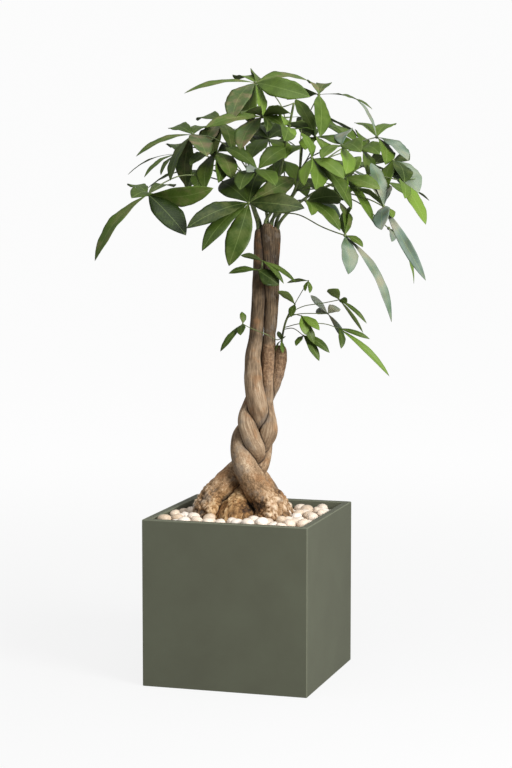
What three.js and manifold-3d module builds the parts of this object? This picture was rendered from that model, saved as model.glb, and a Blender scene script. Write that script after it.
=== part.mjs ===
// A potted money tree: four woody stems braided together, leafy shoots with palm-shaped leaves,
// and a square planter filled with potting soil under a layer of pebbles.
// Millimetres, +Z up. The origin is the middle of the planter's underside, its front faces -Y.
import * as THREE from 'three';
import { mergeGeometries, mergeVertices } from 'three/addons/utils/BufferGeometryUtils.js';
import Module from 'manifold-3d';

const wasm = await Module();
wasm.setup();

// ---- driving dimensions ----
const PLANTER_WIDTH = 400;
const PLANTER_HEIGHT = 395;
const WALL = 18;
const CORNER_RADIUS = 3;
const SOIL_TOP = 360;
const PEBBLE_BED_TOP = 376;
const PEBBLE_SPACING = 43;
const PEBBLE_LENGTH = 39;
const PEBBLE_HEIGHT = 26;
const PEBBLE_CENTRE = 382;
const PEBBLE_TILT = 0.03; // the layer lies a little higher in front than behind
const CLEARANCE = 0.3; // between pieces that touch
const PLANT_TURN = THREE.MathUtils.degToRad(17); // the plant stands turned in its planter
const STEM_SIDES = 9;
const STEM_STEP = 38; // between the rings of a stem
const TWIG_SIDES = 4;
const TWIG_STEP = 52;
const SPROUT_STEP = 34;
const PETIOLE_RADIUS = 2.2;
const HUB_RADIUS = 6;
const SMALL_PETIOLE_RADIUS = 1.5;
const SMALL_HUB_RADIUS = 2.8;
const RIB_THICKNESS = 3.2;
const SEED = 7;

const COLOURS = {
  planter: 0x5b5d4f,
  soil: 0x3a2a1e,
  pebbles: 0xe3d5c4,
  bark: 0x84694c,
  leaf: 0x4a6a33,
};

// ---- making and joining solids ----
function solidOf(geometry) {
  const bare = geometry.clone();
  for (const name of ['normal', 'uv']) bare.deleteAttribute(name);
  const merged = mergeVertices(bare, 1e-3);
  return new wasm.Manifold(new wasm.Mesh({
    numProp: 3,
    vertProperties: Float32Array.from(merged.attributes.position.array),
    triVerts: Uint32Array.from(merged.index.array),
  }));
}

function join(solids) {
  return solids.reduce((whole, next) => whole.add(next));
}

function cut(solid, cutters) {
  return cutters.reduce((left, cutter) => left.subtract(cutter), solid);
}

// The largest body of a cut solid, without the loose scraps.
function largest(solid) {
  return solid.decompose().sort((a, b) => b.volume() - a.volume())[0];
}

function meshOf(name, solid, colour, roughness) {
  const { vertProperties, triVerts } = solid.getMesh();
  const geometry = new THREE.BufferGeometry();
  geometry.setAttribute('position', new THREE.BufferAttribute(vertProperties, 3));
  geometry.setIndex(new THREE.BufferAttribute(triVerts, 1));
  const material = new THREE.MeshStandardMaterial({
    color: colour, roughness, metalness: 0, flatShading: true,
  });
  const mesh = new THREE.Mesh(geometry, material);
  mesh.name = name;
  return mesh;
}

// A round stem along [x, y, z, radius] points: a cylinder wrapped round a smooth curve.
function stemGeometry(points, sides, step, extraRadius = 0) {
  const curve = new THREE.CatmullRomCurve3(points.map(([x, y, z]) => new THREE.Vector3(x, y, z)));
  const steps = Math.max(2, Math.round(curve.getLength() / step));
  const frames = curve.computeFrenetFrames(steps);
  const geometry = new THREE.CylinderGeometry(1, 1, 1, sides, steps);
  const position = geometry.attributes.position;
  for (let i = 0; i < position.count; i++) {
    const ring = Math.round((0.5 - position.getY(i)) * steps);
    const t = curve.getUtoTmapping(ring / steps);
    const along = t * (points.length - 1);
    const from = Math.min(Math.floor(along), points.length - 2);
    const radius = THREE.MathUtils.lerp(points[from][3], points[from + 1][3], along - from) + extraRadius;
    const place = curve.getPoint(t)
      .addScaledVector(frames.normals[ring], position.getX(i) * radius)
      .addScaledVector(frames.binormals[ring], position.getZ(i) * radius);
    position.setXYZ(i, place.x, place.y, place.z);
  }
  return geometry;
}

// Everything that grows is drawn facing the viewer (x right, y away, z up) and then turned.
function grown(geometry) {
  return solidOf(geometry.rotateZ(PLANT_TURN));
}

function stem(points, sides = STEM_SIDES, step = STEM_STEP, extraRadius = 0) {
  return grown(stemGeometry(points, sides, step, extraRadius));
}

function twig(points, radius, step = TWIG_STEP, extraRadius = 0) {
  return stem(points.map((p) => [...p, radius]), TWIG_SIDES, step, extraRadius);
}

// ---- the braided stems: [right, away, up, radius] from the cut top down into the soil ----
const STEM_ROUTES = {
  stem_short: [
    [74, 2, 789, 9], [74, 2, 782, 13], [74, 3, 755, 13.5], [69, 6, 726, 13.5], [61, 12, 697, 14],
    [49, 22, 672, 14.5], [35, 31, 645, 16], [15, 35, 617, 18], [-5, 28, 592, 20], [-19, 12, 572, 22],
    [-21, -4, 550, 24], [-16, -18, 528, 27], [-9, -28, 503, 29], [4, -34, 480, 31], [19, -38, 454, 33],
    [36, -40, 428, 36], [50, -42, 402, 40], [57, -42, 374, 42], [57, -40, 318, 30],
  ],
  stem_back: [
    [61, 14, 1069, 8], [61, 14, 1062, 12], [59, 14, 991, 12], [58, 14, 897, 12], [51, 18, 830, 13.5],
    [39, 26, 777, 14.5], [32, 33, 728, 16], [18, 32, 690, 17], [9, 22, 663, 17.5], [0, 8, 640, 18.5],
    [-6, -6, 622, 19.5], [-6, -17, 605, 20.5], [0, -25, 585, 21.5], [8, -27, 566, 21.5], [17, -22, 545, 20.5],
    [17, -8, 525, 18.5], [13, 14, 498, 18], [30, 27, 468, 19], [47, 30, 441, 21], [62, 30, 416, 24],
    [76, 30, 390, 26], [84, 30, 362, 26], [84, 30, 318, 19],
  ],
  stem_centre: [
    [43, -6, 1078, 9], [43, -6, 1071, 14], [46, -5, 992, 13.5], [50, -4, 898, 13], [48, -3, 827, 14],
    [47, 0, 791, 15], [45, 4, 731, 14.5], [45, 8, 688, 14.5], [42, 8, 654, 15], [44, 2, 631, 16],
    [48, -7, 608, 18], [46, -10, 585, 21], [38, -4, 564, 20], [20, 14, 541, 19.5], [0, 26, 516, 23],
    [-25, 20, 486, 30], [-55, 9, 458, 31], [-82, 0, 428, 32], [-93, -6, 402, 35], [-98, -8, 378, 38],
    [-98, -6, 324, 24],
  ],
  stem_left: [
    [27, 4, 1067, 8], [27, 4, 1060, 13], [25.5, 2, 987, 15.5], [22, 0, 898, 16.5], [15, -2, 806, 17],
    [9, -4, 767, 18.5], [9, -8, 732, 20.5], [12, -13, 690, 22.5], [18, -17, 655, 24], [24, -8, 623, 22],
    [31, 14, 592, 19], [39, 30, 567, 18], [39, 27, 545, 16.5], [35, 8, 520, 16.5], [28, -6, 500, 17.5],
    [14, -6, 482, 19], [2, -8, 455, 21], [-11, -11, 430, 27], [-20, -19, 406, 39], [-30, -28, 384, 46],
    [-32, -28, 326, 36],
  ],
};

// ---- leaves: a petiole leads out to a hub, and leaflets spread from the hub ----
// Each leaflet is [right, away, up, width, lean]: its tip measured from the hub, its width, and by how
// many degrees the blade is rolled about its length.
// petiole lists the points from the shoot to the hub; the last one is the hub.
// Leaves on the far side are spread by rule instead: [hub, turn in degrees, leaflet length].
const SHOOTS = {
  shoot_left_low: {
    stem: [[21, 0, 1046], [20, -2, 1076], [13, -20, 1100], [6, -40, 1125], [8, -52, 1160]],
    leaves: [
      { petiole: [[13, -20, 1100], [5, -110, 1122], [0, -170, 1130]],
        leaflets: [[-140, -70, -55, 50, -40], [-105, -90, -105, 46, -20], [-45, -70, -140, 56, -20],
          [125, -70, -10, 56, 50], [105, 80, 55, 50, 40], [-65, 100, 45, 56, -40], [25, 115, 70, 52]] },
      { petiole: [[6, -40, 1125], [-55, -70, 1175], [-148, -102, 1192], [-195, -114, 1175], [-232, -122, 1148]],
        leaflets: [[-120, -40, -150, 44, -20], [90, -82, -90, 62, 30], [152, -68, 16, 50, 120],
          [55, 125, 15, 46], [-30, -130, -5, 46, -20], [-45, 115, 15, 42]] },
      { petiole: [[8, -52, 1160], [14, -90, 1190], [20, -110, 1205]],
        leaflets: [[-75, 30, 50, 42, -30], [65, 45, 50, 46, 40], [-25, -70, -5, 28, -30],
          [-40, -110, -45, 46], [40, -110, -35, 46]] },
    ],
  },
  shoot_left_high: {
    stem: [[27, 11, 1046], [26, 13, 1076], [13, 15, 1112], [6, 18, 1150], [4, 20, 1195], [-8, 25, 1240]],
    leaves: [
      { petiole: [[4, 20, 1190], [-35, -40, 1245], [-85, -58, 1278], [-130, -60, 1285]],
        leaflets: [[-130, -40, -50, 26, -20], [-50, -70, -105, 42, 20], [-15, -10, -120, 50, -20],
          [35, -110, -50, 52], [30, 110, 15, 42], [-55, 110, 15, 42, -20]] },
      { petiole: [[-8, 25, 1240], [-35, 40, 1290], [-65, 50, 1315]],
        leaflets: [[-60, 125, 5, 42, -20], [-50, -90, -65, 50], [-15, -110, -85, 44, 30],
          [25, -110, -65, 46, -20], [65, 100, 30, 44, 20]] },
      { petiole: [[9, 17, 1132], [-60, 90, 1215], [-125, 130, 1240], [-170, 150, 1240]],
        leaflets: [[-125, 30, -50, 17], [-80, -80, -55, 20], [-40, -90, -50, 24, 30], [50, 100, 10, 44],
          [-25, 150, 15, 44]] },
      { petiole: [[6, 18, 1160], [-30, -10, 1215], [-75, -40, 1245]],
        leaflets: [[-25, -100, -85, 46, 20], [5, -100, -70, 38, -40], [35, -100, -60, 48], [-60, -90, -30, 44],
          [55, 90, 5, 44, 30]] },
    ],
  },
  shoot_top: {
    stem: [[37, -8, 1050], [39, -8, 1084], [56, -5, 1112], [62, -1, 1150], [80, -5, 1230], [95, -15, 1310],
      [104, -35, 1358]],
    leaves: [
      { petiole: [[80, -5, 1230], [80, 0, 1340], [45, -10, 1390], [15, -20, 1405]],
        leaflets: [[-165, -35, -25, 28, -20], [-55, -135, -90, 58], [-5, -125, -100, 50, 40],
          [15, -60, -80, 32, -30], [125, -100, -35, 56, 50], [130, 90, 5, 46, 20], [-5, 135, 14, 56, 40],
          [-45, 125, 10, 50]] },
      { petiole: [[104, -35, 1358], [90, -70, 1352], [55, -115, 1340], [30, -130, 1325]],
        leaflets: [[65, -110, 5, 40, -30], [45, -60, -20, 28, 20], [-45, -115, 5, 40, 20], [-50, -90, -75, 55],
          [10, -110, -35, 30, -40], [-130, -30, -25, 44, -30]] },
      { petiole: [[80, -5, 1230], [85, -35, 1280], [80, -50, 1305]],
        leaflets: [[60, 85, -10, 38, -20], [-30, 100, 20, 38], [0, -110, -35, 44, -40], [15, -80, -30, 32, -20],
          [-10, 90, 25, 40, 40]] },
      { petiole: [[62, -1, 1150], [55, 25, 1235], [45, 40, 1275]],
        leaflets: [[-45, 95, 20, 44, -20], [55, 90, 20, 46, 30], [-40, -95, -45, 50], [40, -100, -45, 50],
          [-15, 120, 30, 50, 20]] },
    ],
  },
  shoot_right_high: {
    stem: [[62, 20, 1046], [63, 22, 1076], [78, 26, 1110], [105, 12, 1150], [118, 5, 1200], [125, 22, 1260]],
    leaves: [
      { petiole: [[125, 22, 1260], [140, 50, 1330], [165, 70, 1380]],
        leaflets: [[125, -40, -35, 44], [0, -110, -100, 50, -40], [25, 130, 25, 36], [-20, 110, 30, 46, 20],
          [-75, 80, -10, 42, 30]] },
      { petiole: [[118, 5, 1200], [142, 2, 1240], [155, 20, 1280]],
        leaflets: [[-45, 60, 90, 44], [-20, 100, 35, 40, 40], [105, -60, -35, 46, 20], [-25, -70, -30, 40],
          [15, -85, -30, 42, -30], [-60, -85, 15, 36]] },
      { petiole: [[118, 5, 1200], [140, -25, 1230], [175, -45, 1248], [215, -60, 1260]],
        leaflets: [[5, -100, -65, 46, -40], [40, -105, -15, 44, 30], [-50, -90, -30, 40],
          [25, 110, 35, 44, -20]] },
      { petiole: [[112, 8, 1175], [215, 60, 1250], [260, 95, 1268], [305, 110, 1280]],
        leaflets: [[-50, 80, 35, 40], [70, -80, -55, 50], [-50, 70, 95, 18, 20], [50, 110, 30, 44],
          [15, -105, -65, 46, -30]] },
      { petiole: [[118, 5, 1200], [200, 50, 1236], [265, 70, 1255]],
        leaflets: [[-75, 70, 55, 42], [-5, 110, 35, 44, 40], [40, -90, -15, 44, 30],
          [10, -110, -65, 46, -40]] },
    ],
  },
  shoot_right_low: {
    stem: [[50, -8, 1050], [52, -11, 1082], [68, -24, 1104], [90, -36, 1125], [110, -44, 1155]],
    leaves: [
      { petiole: [[68, -24, 1104], [115, -62, 1100], [165, -105, 1075], [190, -125, 1065], [220, -140, 1055]],
        leaflets: [[-10, 80, 75, 36, 40], [15, 85, 65, 36, -40], [5, -70, -85, 46, -30],
          [105, -50, -195, 29, 20], [40, -30, -25, 22, 20]] },
      { petiole: [[110, -44, 1155], [165, -62, 1160], [230, -85, 1150], [280, -100, 1135], [310, -110, 1120]],
        leaflets: [[-70, 60, 85, 26], [-25, 85, 100, 42, 20], [15, 90, 40, 42, -30], [-70, -60, 45, 34],
          [-10, -95, -50, 46, 30], [95, -44, -168, 26, 57], [20, -30, -25, 24]] },
      { petiole: [[90, -36, 1125], [115, -120, 1135], [130, -190, 1135]],
        leaflets: [[75, -80, 10, 52, -50], [75, -60, -65, 38, 20], [80, 45, -40, 34, -20],
          [10, -80, -30, 30, -30]] },
      { petiole: [[110, -44, 1155], [130, -80, 1200], [145, -110, 1230]],
        leaflets: [[70, -80, -45, 44, 20], [90, -45, -115, 44, 20], [5, -95, -70, 50, -40],
          [-20, -100, -60, 38, 30], [-25, 40, 60, 40, 20]] },
      { petiole: [[110, -44, 1155], [170, -57, 1182], [220, -60, 1185]],
        leaflets: [[65, -60, -100, 36], [80, -80, -25, 44, 30], [-5, -95, -50, 44, 40], [40, 15, 50, 40, 30],
          [-35, 70, 30, 38]] },
    ],
  },
  shoot_right_outer: {
    stem: [[66, 10, 1044], [69, 8, 1074], [96, -2, 1108], [150, 8, 1148], [210, 16, 1176]],
    leaves: [
      { petiole: [[210, 16, 1176], [270, 26, 1212], [340, 30, 1225]],
        leaflets: [[55, -80, -75, 62, 20], [20, -105, -50, 50, -20], [45, 95, 0, 46, -40],
          [-20, -90, -65, 44, 30], [-40, 100, -10, 44, 20]] },
      { petiole: [[210, 16, 1176], [290, -30, 1190], [350, -60, 1180]],
        leaflets: [[55, -80, -100, 40], [5, -100, -40, 36, -40], [50, 80, -20, 40]] },
      { petiole: [[150, 8, 1148], [250, 50, 1130], [332, 60, 1064]],
        leaflets: [[5, -40, -30, 22, -40], [15, 35, -20, 22, 20], [64, 40, -134, 27, 50]] },
    ],
  },
  shoot_far_left: {
    stem: [[43, 3, 1052], [43, 10, 1086], [30, 60, 1140], [-5, 120, 1190]],
    leaves: [],
    farLeaves: [[[-25, 215, 1300], 20, 160], [[-120, 250, 1200], 50, 155]],
  },
  shoot_far_right: {
    stem: [[54, 14, 1044], [54, 20, 1078], [80, 70, 1140], [120, 130, 1190]],
    leaves: [
      { petiole: [[80, 70, 1140], [84, 95, 1190], [80, 110, 1225]],
        leaflets: [[35, -80, -60, 44], [-35, -90, -60, 48], [-55, 85, -10, 44, 30], [35, 100, 35, 46],
          [0, 90, 55, 44, -40]] },
    ],
    farLeaves: [[[130, 250, 1330], 5, 160], [[110, 300, 1180], 35, 150], [[235, 270, 1220], 70, 150],
      [[315, 195, 1170], 10, 140]],
  },
};
const FAR_LEAFLETS = 5;
const FAR_SPREAD = THREE.MathUtils.degToRad(66); // between neighbouring leaflets
const FAR_DROOP = 0.34; // how far a tip hangs below the hub, as a share of the leaflet's length

// Young shoots on the trunk: thin stems with small leaves.
const SPROUTS = {
  sprout_stump: {
    stem: [[76, 0, 772], [77, 0, 798], [80, 2, 820], [86, 0, 845], [96, -5, 868], [106, -8, 885]],
    leaves: [
      { petiole: [[96, -5, 868], [122, -20, 915], [139, -25, 944]],
        leaflets: [[-8, -10, -24, 11], [3, -12, -28, 12, -20], [-50, 5, -5, 11, 50]] },
      { petiole: [[96, -5, 868], [130, -12, 884], [167, -16, 890], [212, -20, 899]],
        leaflets: [[-26, -35, 28, 29, 20], [17, -30, -5, 18, 40], [64, -20, -54, 12, 40],
          [58, 25, -80, 10, -40]] },
      { petiole: [[92, -3, 858], [120, 8, 864], [186, 12, 864]],
        leaflets: [[-40, 30, 42, 18, -30], [-26, 35, 7, 20, -50], [26, 45, 12, 29, 30],
          [42, 20, -70, 18, -30]] },
      { petiole: [[83, 1, 832], [120, -22, 843], [179, -32, 843], [210, -36, 833]],
        leaflets: [[5, -32, -45, 18, -20], [73, -12, -24, 14, 50], [119, -20, -111, 17, 50]] },
      { petiole: [[82, 1, 828], [105, -30, 832], [127, -45, 817]],
        leaflets: [[-18, -28, -22, 17], [37, -20, -58, 23, 30], [61, -28, -38, 20, 50]] },
      { petiole: [[90, -3, 854], [105, -35, 866], [122, -56, 864]],
        leaflets: [[9, -28, -42, 25], [42, -32, -31, 23, 30], [31, -12, -66, 23, 40]] },
      { petiole: [[106, -8, 885], [108, -10, 888]],
        leaflets: [[-41, -25, 33, 20, 40], [-10, -34, -28, 18]] },
      { petiole: [[77, 0, 798], [76, -8, 803]],
        leaflets: [[-14, -12, -24, 13, 20], [3, -13, -30, 12, -20], [-8, -10, 22, 11, 30], [10, -9, 10, 10]] },
      { petiole: [[77, 0, 806], [63, -20, 805], [44, -31, 817], [4, -32, 833], [-15, -28, 843]],
        leaflets: [[-53, -15, -64, 18, -40], [-5, -32, -24, 23, 20], [-2, 10, 28, 18, 20]] },
    ],
  },
  sprout_front: {
    stem: [[26, -2, 970], [28, -14, 971], [30, -26, 974], [31, -30, 988]],
    leaves: [
      { petiole: [[31, -29, 984], [31, -31, 991]],
        leaflets: [[-51, -15, 14, 17, 50], [79, -12, -50, 13, 50], [50, -22, -52, 13, 40]] },
      { petiole: [[30, -25, 972], [20, -29, 970]],
        leaflets: [[-68, -20, -7, 18, -50], [50, -15, -35, 44, 50]] },
    ],
  },
};
const SPROUT_RADIUS = 3;
const SHOOT_RADIUS = 4.4;
const SOCKET_CLEARANCE = 0.45; // at the edges of a four-sided twig; less at its flats

// Where along a blade its rows lie, and how wide it is there.
const BLADE = { rows: [0, 0.32, 0.7, 1], widths: [0.05, 0.62, 0.96, 0.03] };
const SMALL_BLADE = { rows: [0, 0.55, 1], widths: [0.06, 1, 0.04] };
const BLADE_ARCH = 0.1; // height of the arched rib over its chord
const BLADE_FOLD = 0.09; // how far the margins stand above the rib
const MARGIN_WAVE = 0.05; // of the blade's width

// One leaflet: a two-column sheet bent along its rib, and a like sheet below it, stitched
// along the margins, so that both faces have the same triangles.
function leafletGeometry(hub, [right, away, up, width, lean = 0], blade) {
  const tip = new THREE.Vector3(right, away, up);
  const level = new THREE.Vector3(right, away, 0).normalize();
  const across = new THREE.Vector3().crossVectors(level, new THREE.Vector3(0, 0, 1))
    .applyAxisAngle(tip.clone().normalize(), THREE.MathUtils.degToRad(lean));
  const above = new THREE.Vector3().crossVectors(across, tip).normalize();
  const bend = tip.clone().multiplyScalar(0.5).addScaledVector(above, 2 * BLADE_ARCH * tip.length());
  const rib = new THREE.QuadraticBezierCurve3(new THREE.Vector3(), bend, tip);
  const rows = blade.rows.length - 1;
  const sheets = [1, -1].map((side) => {
    const sheet = new THREE.PlaneGeometry(2, 1, 2, rows);
    const position = sheet.attributes.position;
    for (let i = 0; i < position.count; i++) {
      const row = Math.round((0.5 - position.getY(i)) * rows);
      const column = Math.round(position.getX(i));
      const s = blade.rows[row];
      const halfWidth = width / 2 * blade.widths[row];
      const normal = new THREE.Vector3().crossVectors(across, rib.getTangent(s));
      const wave = column * Math.cos(row * Math.PI) * MARGIN_WAVE * 2 * halfWidth;
      const inner = column === 0 && row > 0 && row < rows;
      const thickness = Math.min(RIB_THICKNESS, 0.12 * width);
      const lift = inner ? side * thickness / 2 : BLADE_FOLD * halfWidth * Math.abs(column) + wave;
      const place = rib.getPoint(s).add(hub)
        .addScaledVector(across, column * halfWidth)
        .addScaledVector(normal, lift);
      position.setXYZ(i, place.x, place.y, place.z);
    }
    if (side > 0) sheet.index.array.reverse();
    return sheet;
  });
  return mergeGeometries(sheets);
}

function leaf({ petiole, leaflets }) {
  const hub = new THREE.Vector3(...petiole.at(-1));
  const knot = new THREE.OctahedronGeometry(HUB_RADIUS).translate(...hub);
  return [
    twig(petiole, PETIOLE_RADIUS), grown(knot),
    ...leaflets.map((l) => grown(leafletGeometry(hub, l, BLADE))),
  ];
}

function smallLeaf({ petiole, leaflets }) {
  const hub = new THREE.Vector3(...petiole.at(-1));
  const knot = new THREE.OctahedronGeometry(SMALL_HUB_RADIUS).translate(...hub);
  return [
    twig(petiole, SMALL_PETIOLE_RADIUS, SPROUT_STEP), grown(knot),
    ...leaflets.map((l) => grown(leafletGeometry(hub, l, SMALL_BLADE))),
  ];
}

function farLeaf(stemEnd, [hub, turn, length]) {
  const middle = (FAR_LEAFLETS - 1) / 2;
  const start = THREE.MathUtils.degToRad(turn);
  const leaflets = Array.from({ length: FAR_LEAFLETS }, (_, k) => {
    const angle = start + (k - middle) * FAR_SPREAD;
    const reach = length * (1 - 0.07 * Math.abs(k - middle));
    return [reach * Math.sin(angle), reach * Math.cos(angle), -FAR_DROOP * reach, 0.33 * reach];
  });
  const halfway = hub.map((v, axis) => (v + stemEnd[axis]) / 2);
  halfway[2] += 20;
  return { petiole: [stemEnd, halfway, hub], leaflets };
}

// Each shoot stands in a socket in the stem's top, a clearance wider than the shoot.
const shootSolids = {};
const sockets = [];
for (const [name, { stem: route, leaves, farLeaves = [] }] of Object.entries(SHOOTS)) {
  const allLeaves = [...leaves, ...farLeaves.map((far) => farLeaf(route.at(-1), far))];
  shootSolids[name] = largest(join([twig(route, SHOOT_RADIUS), ...allLeaves.flatMap(leaf)]));
  sockets.push(twig(route, SHOOT_RADIUS, TWIG_STEP, SOCKET_CLEARANCE));
}
for (const [name, { stem: route, leaves }] of Object.entries(SPROUTS)) {
  shootSolids[name] = largest(join([twig(route, SPROUT_RADIUS, SPROUT_STEP), ...leaves.flatMap(smallLeaf)]));
  sockets.push(twig(route, SPROUT_RADIUS, SPROUT_STEP, SOCKET_CLEARANCE));
}

// ---- the stems press against each other: each one is cut by those laid before it ----
const stemSolids = {};
const laidStems = [];
for (const [name, route] of Object.entries(STEM_ROUTES)) {
  stemSolids[name] = largest(cut(stem(route), [...laidStems, ...sockets]));
  laidStems.push(stem(route, STEM_SIDES, STEM_STEP, CLEARANCE + 0.1));
}

// ---- planter, soil and pebbles ----
function block(width, bottom, top) {
  const half = width / 2 - CORNER_RADIUS;
  const square = new THREE.Shape();
  square.absarc(half, half, CORNER_RADIUS, 0, Math.PI / 2);
  square.absarc(-half, half, CORNER_RADIUS, Math.PI / 2, Math.PI);
  square.absarc(-half, -half, CORNER_RADIUS, Math.PI, 1.5 * Math.PI);
  square.absarc(half, -half, CORNER_RADIUS, 1.5 * Math.PI, 2 * Math.PI);
  const extruded = new THREE.ExtrudeGeometry(square, {
    depth: top - bottom, bevelEnabled: false, curveSegments: 3,
  });
  return solidOf(extruded.translate(0, 0, bottom));
}

const insideWidth = PLANTER_WIDTH - 2 * WALL;
const fillWidth = insideWidth - 2 * CLEARANCE;
const planter = block(PLANTER_WIDTH, 0, PLANTER_HEIGHT).subtract(block(insideWidth, WALL, PLANTER_HEIGHT + 10));
const soil = cut(block(fillWidth, WALL + CLEARANCE, SOIL_TOP), laidStems);

// A small repeatable random number in 0..1.
function makeRandom(seed) {
  let state = seed;
  return () => {
    state = (state * 1664525 + 1013904223) % 4294967296;
    return state / 4294967296;
  };
}

// Pebbles lie in staggered rows, each a little shifted and turned; none lies under the trunk.
const random = makeRandom(SEED);
const footCentres = Object.values(STEM_ROUTES).map((route) => {
  const [x, y, , radius] = route.at(-2);
  return { at: new THREE.Vector2(x, y).rotateAround(new THREE.Vector2(), PLANT_TURN), radius };
});
const pebbles = [];
const rowSpacing = PEBBLE_SPACING * 0.86;
const edge = fillWidth / 2 - PEBBLE_LENGTH / 2;
const rowCount = Math.floor(2 * edge / rowSpacing) + 1;
for (let row = 0; row < rowCount; row++) {
  const y = -edge + row * (2 * edge / (rowCount - 1));
  const inRow = Math.floor(2 * edge / PEBBLE_SPACING) + (row % 2);
  for (let k = 0; k < inRow; k++) {
    const x = (k - (inRow - 1) / 2) * (2 * edge / (Math.floor(2 * edge / PEBBLE_SPACING)));
    const jitter = () => (random() - 0.5) * 5;
    const centre = new THREE.Vector2(
      THREE.MathUtils.clamp(x + jitter(), -edge, edge), THREE.MathUtils.clamp(y + jitter(), -edge, edge));
    const size = 0.86 + 0.14 * random();
    const turn = random() * Math.PI;
    const height = PEBBLE_CENTRE + (random() - 0.5) * 4 - PEBBLE_TILT * centre.y;
    if (footCentres.some(({ at, radius }) => at.distanceTo(centre) < radius - 4)) continue;
    const pebble = new THREE.IcosahedronGeometry(1, 0)
      .scale(size * PEBBLE_LENGTH / 2, size * PEBBLE_LENGTH * 0.43, size * PEBBLE_HEIGHT / 2)
      .rotateZ(turn)
      .translate(centre.x, centre.y, height);
    pebbles.push(solidOf(pebble));
  }
}
const bed = block(fillWidth, SOIL_TOP + CLEARANCE, PEBBLE_BED_TOP);
const pebbleLayer = largest(cut(join([bed, ...pebbles]), laidStems));

// ---- the whole potted tree ----
const tree = new THREE.Group();
tree.add(meshOf('planter', planter, COLOURS.planter, 0.75));
tree.add(meshOf('potting_soil', soil, COLOURS.soil, 0.95));
tree.add(meshOf('pebbles', pebbleLayer, COLOURS.pebbles, 0.6));
for (const [name, solid] of Object.entries(stemSolids)) tree.add(meshOf(name, solid, COLOURS.bark, 0.9));
for (const [name, solid] of Object.entries(shootSolids)) tree.add(meshOf(name, solid, COLOURS.leaf, 0.5));

export default tree;
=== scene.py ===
"""A potted money tree: four braided stems with palm-shaped leaves in a square planter of pebbles."""
import math
import random

import bmesh
import bpy
from mathutils import Matrix, Quaternion, Vector, kdtree, noise


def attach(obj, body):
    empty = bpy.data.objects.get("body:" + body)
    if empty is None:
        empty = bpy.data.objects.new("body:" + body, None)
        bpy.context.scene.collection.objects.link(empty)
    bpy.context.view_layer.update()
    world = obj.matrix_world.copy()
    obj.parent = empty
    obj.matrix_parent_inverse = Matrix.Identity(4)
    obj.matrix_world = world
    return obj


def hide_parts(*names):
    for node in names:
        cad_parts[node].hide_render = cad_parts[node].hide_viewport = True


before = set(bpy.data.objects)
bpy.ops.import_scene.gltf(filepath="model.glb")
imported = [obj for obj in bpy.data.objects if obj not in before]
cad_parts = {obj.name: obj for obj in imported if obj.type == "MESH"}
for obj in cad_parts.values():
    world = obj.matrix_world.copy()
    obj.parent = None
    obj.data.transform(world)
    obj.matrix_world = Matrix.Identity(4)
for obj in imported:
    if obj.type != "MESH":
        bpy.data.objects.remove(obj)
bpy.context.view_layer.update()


# ==== Planter ====
# A cube cast in fibre clay, a mix of stone powder and resin, and painted in a matt sage green.
# Its walls are 18 mm thick, and the edges are sanded just round enough not to chip.
PLANTER_WIDTH = 0.400
PLANTER_HEIGHT = 0.395
PLANTER_WALL = 0.018
PLANTER_EDGE = 0.0022


def linear(hex_colour):
    """The linear RGBA value of an sRGB hex colour."""
    channels = [int(hex_colour[i:i + 2], 16) / 255 for i in (1, 3, 5)]
    return (*[c / 12.92 if c <= 0.04045 else ((c + 0.055) / 1.055) ** 2.4 for c in channels], 1)


def add_node(tree, kind, settings=None, inputs=None, stops=()):
    """Adds a shader node with its settings. Each input is a value, a hex colour, the socket that feeds
    it, or a node whose first output in use feeds it. A Mix node's inputs go by number: 0 is the share
    of the second one, 2 and 3 are the two numbers, and 6 and 7 the two colours."""
    made = tree.nodes.new("ShaderNode" + kind)
    for name, value in (settings or {}).items():
        setattr(made, name, value)
    for name, value in (inputs or {}).items():
        if isinstance(value, bpy.types.Node):
            value = next(output for output in value.outputs if output.enabled)
        if isinstance(value, bpy.types.NodeSocket):
            tree.links.new(value, made.inputs[name])
        else:
            made.inputs[name].default_value = linear(value) if isinstance(value, str) else value
    for index, (position, colour) in enumerate(stops):
        elements = made.color_ramp.elements
        stop = elements[index] if index < 2 else elements.new(position)
        stop.position = position
        stop.color = linear(colour)
    return made


MIX_COLOURS = {"data_type": "RGBA"}


def new_material(name, roughness):
    """A named material, its node tree, its surface shader and the socket with the place on its piece."""
    material = bpy.data.materials.new(name)
    material.use_nodes = True
    tree = material.node_tree
    surface = tree.nodes["Principled BSDF"]
    surface.inputs["Roughness"].default_value = roughness
    return material, tree, surface, add_node(tree, "TexCoord").outputs["Object"]


def piece_of(bm, name, *materials):
    """Makes a smooth-shaded object of a bmesh; its place is in its mesh."""
    mesh = bpy.data.meshes.new(name)
    bm.to_mesh(mesh)
    bm.free()
    mesh.shade_smooth()
    for material in materials:
        mesh.materials.append(material)
    piece = bpy.data.objects.new(name, mesh)
    bpy.context.collection.objects.link(piece)
    return piece


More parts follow.
